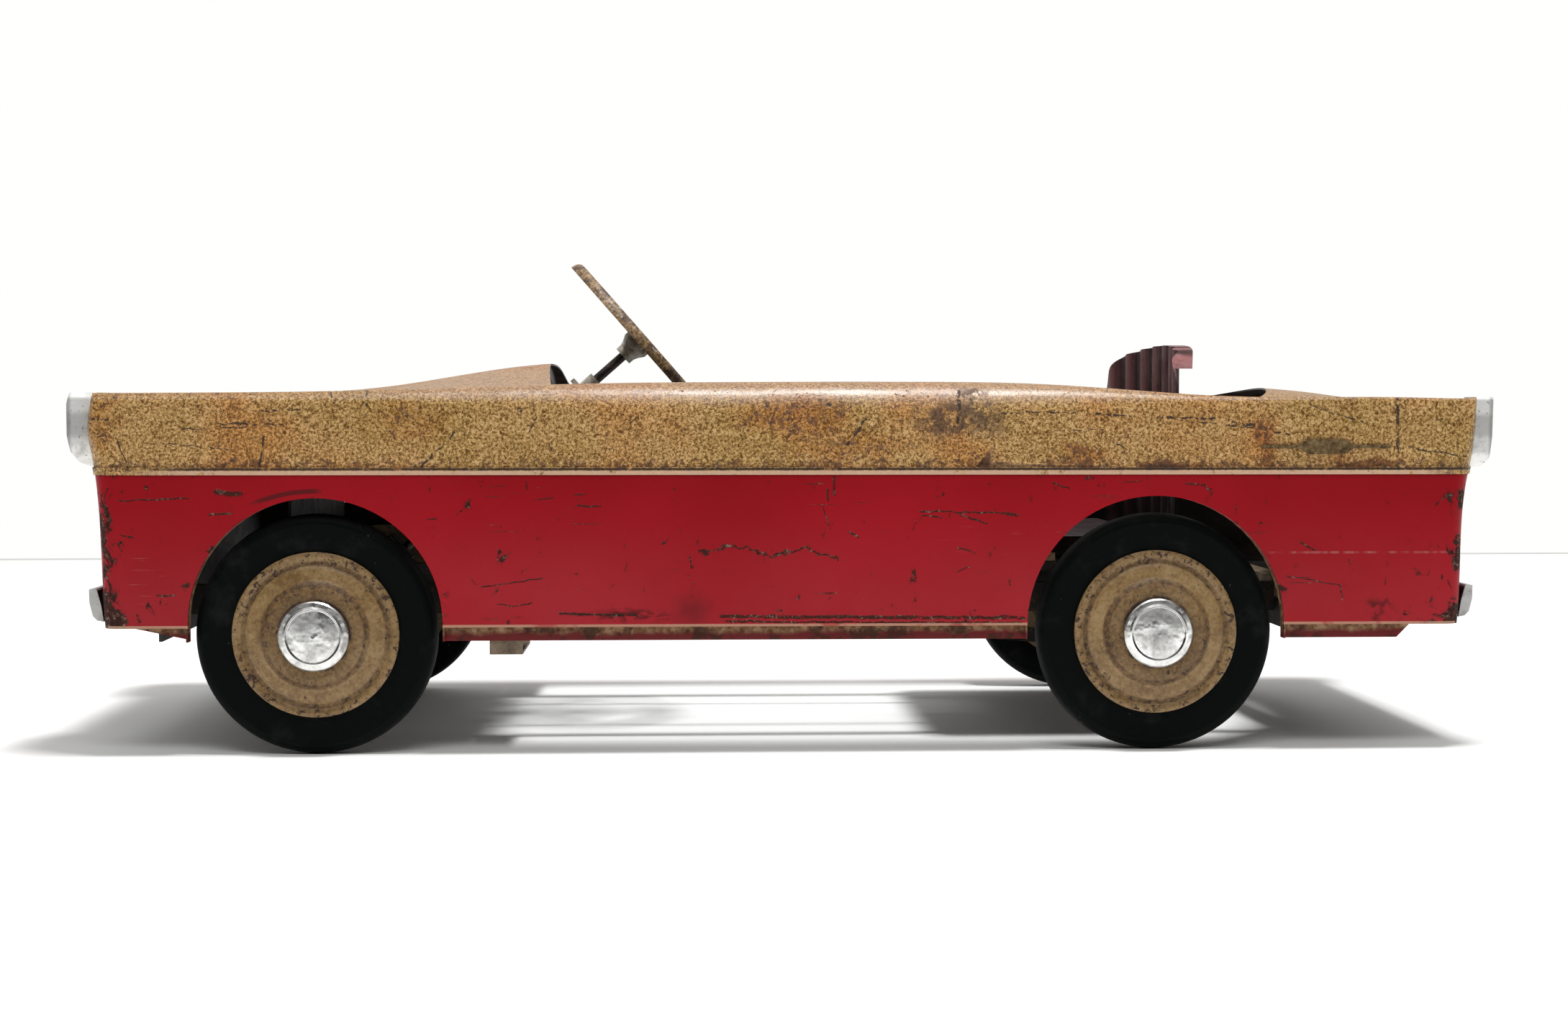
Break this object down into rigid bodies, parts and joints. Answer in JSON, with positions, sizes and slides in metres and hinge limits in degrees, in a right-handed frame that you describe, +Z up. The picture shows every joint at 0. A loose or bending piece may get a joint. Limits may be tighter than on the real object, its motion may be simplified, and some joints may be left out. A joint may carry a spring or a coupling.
{
  "type": "pedal car",
  "caption": "Child's pressed-steel open pedal car with hooded headlamps, fluted bucket seat, solid-tyred disc wheels, rod steering and crank drive.",
  "frame": {"origin": "on the floor, midway along the car and on its centre line", "axes": "+Z up, the car faces -X, its left side is -Y"},
  "size_m": [1.132, 0.4398, 0.3988],
  "materials": {
    "gold_paint": "worn gold hammer paint, speckled with rust",
    "red_paint": "worn satin red paint",
    "wheel_paint": "dull gold paint, rusted in the rings",
    "seat_paint": "dusty dark burgundy paint",
    "black_paint": "black",
    "dark_emblem": "darkened metal",
    "polished_aluminium": "worn polish",
    "tyre_rubber": "solid black rubber",
    "hub_steel": "dull steel",
    "frame_steel": "dark rusty steel",
    "cream_plastic": "aged cream plastic"
  },
  "bodies": {
    "car_body": {"bumper_bars": "black_paint", "column_sleeve": "cream_plastic", "column_steady": "frame_steel", "dash_panel": "gold_paint", "frame_rail_left": "frame_steel", "frame_rail_right": "frame_steel", "frame_rivets": "frame_steel", "front_axle_beam": "frame_steel", "front_bumper": "polished_aluminium", "front_cross_plates": "frame_steel", "headlight_left": "polished_aluminium", "headlight_right": "polished_aluminium", "instrument_plate": "black_paint", "kingpins": "frame_steel", "nose_panel": "red_paint", "pedal_hangers": "frame_steel", "pedal_shaft": "frame_steel", "rear_axle_brackets": "frame_steel", "rear_axle_bushes": "frame_steel", "rear_bumper": "polished_aluminium", "rear_cross_member": "frame_steel", "seat_back": "seat_paint", "seat_brackets": "frame_steel", "seat_pan": "seat_paint", "side_emblems": "dark_emblem", "side_panel_left": "red_paint", "side_panel_right": "red_paint", "sill_brackets": "frame_steel", "tail_cap": "gold_paint", "tail_lamp_left": "polished_aluminium", "tail_lamp_right": "polished_aluminium", "tail_panel": "red_paint", "upper_body": "gold_paint"},
    "steering": {"steering_wheel": "gold_paint", "steering_hub": "cream_plastic", "steering_column": "frame_steel"},
    "knuckle_left": {"knuckle_left": "frame_steel"},
    "knuckle_right": {"knuckle_right": "frame_steel"},
    "tie_rod": {"tie_rod": "frame_steel"},
    "wheel_front_left": {"tyre_front_left": "tyre_rubber", "disc_front_left": "wheel_paint", "hub_front_left": "hub_steel", "hubcap_front_left": "polished_aluminium"},
    "wheel_front_right": {"tyre_front_right": "tyre_rubber", "disc_front_right": "wheel_paint", "hub_front_right": "hub_steel", "hubcap_front_right": "polished_aluminium"},
    "rear_axle": {"rear_axle": "frame_steel", "tyre_rear_left": "tyre_rubber", "disc_rear_left": "wheel_paint", "hub_rear_left": "hub_steel", "hubcap_rear_left": "polished_aluminium"},
    "wheel_rear_right": {"tyre_rear_right": "tyre_rubber", "disc_rear_right": "wheel_paint", "hub_rear_right": "hub_steel", "hubcap_rear_right": "polished_aluminium"},
    "pedal_rod_left": {"pedal_rod_left": "frame_steel"},
    "pedal_rod_right": {"pedal_rod_right": "frame_steel"},
    "pedal_left": {"pedal_left": "frame_steel"},
    "pedal_right": {"pedal_right": "frame_steel"}
  },
  "joints": [
    {"name": "steering", "type": "hinge", "parent": "car_body", "child": "steering", "pos_m": [-0.12, 0, 0.333], "axis": [0.7513, 0, 0.66], "range_deg": [-24, 24]},
    {"name": "knuckle_left_turn", "type": "hinge", "parent": "car_body", "child": "knuckle_left", "pos_m": [-0.372, -0.15, 0.095], "axis": [0, 0, 1], "range_deg": [-24, 24]},
    {"name": "knuckle_right_turn", "type": "hinge", "parent": "car_body", "child": "knuckle_right", "pos_m": [-0.372, 0.15, 0.095], "axis": [0, 0, 1], "range_deg": [-24, 24]},
    {"name": "tie_rod_turn", "type": "hinge", "parent": "knuckle_left", "child": "tie_rod", "pos_m": [-0.325, -0.15, 0.0895], "axis": [0, 0, 1], "range_deg": [-24, 24]},
    {"name": "front_left_wheel_spin", "type": "hinge", "parent": "knuckle_left", "child": "wheel_front_left", "pos_m": [-0.372, -0.194, 0.095], "axis": [0, 1, 0], "continuous": true},
    {"name": "front_right_wheel_spin", "type": "hinge", "parent": "knuckle_right", "child": "wheel_front_right", "pos_m": [-0.372, 0.194, 0.095], "axis": [0, 1, 0], "continuous": true},
    {"name": "rear_axle_spin", "type": "hinge", "parent": "car_body", "child": "rear_axle", "pos_m": [0.294, 0, 0.095], "axis": [0, 1, 0], "continuous": true},
    {"name": "rear_right_wheel_spin", "type": "hinge", "parent": "car_body", "child": "wheel_rear_right", "pos_m": [0.294, 0.194, 0.095], "axis": [0, 1, 0], "continuous": true},
    {"name": "pedal_rod_left_turn", "type": "hinge", "parent": "rear_axle", "child": "pedal_rod_left", "pos_m": [0.294, -0.065, 0.13], "axis": [0, 1, 0], "continuous": true},
    {"name": "pedal_rod_right_turn", "type": "hinge", "parent": "rear_axle", "child": "pedal_rod_right", "pos_m": [0.294, 0.065, 0.06], "axis": [0, 1, 0], "continuous": true},
    {"name": "pedal_left_swing", "type": "hinge", "parent": "car_body", "child": "pedal_left", "pos_m": [-0.262, -0.058, 0.236], "axis": [0, 1, 0], "range_deg": [-16, 16]},
    {"name": "pedal_right_swing", "type": "hinge", "parent": "car_body", "child": "pedal_right", "pos_m": [-0.262, 0.058, 0.236], "axis": [0, 1, 0], "range_deg": [-16, 16]}
  ],
  "couplings": [
    {"joint": "knuckle_left_turn", "follows": "steering", "ratio": 1},
    {"joint": "knuckle_right_turn", "follows": "steering", "ratio": 1},
    {"joint": "tie_rod_turn", "follows": "steering", "ratio": -1},
    {"joint": "pedal_rod_left_turn", "follows": "rear_axle_spin", "ratio": -1},
    {"joint": "pedal_rod_right_turn", "follows": "rear_axle_spin", "ratio": -1},
    {"joint": "pedal_right_swing", "follows": "pedal_left_swing", "ratio": -1}
  ]
}
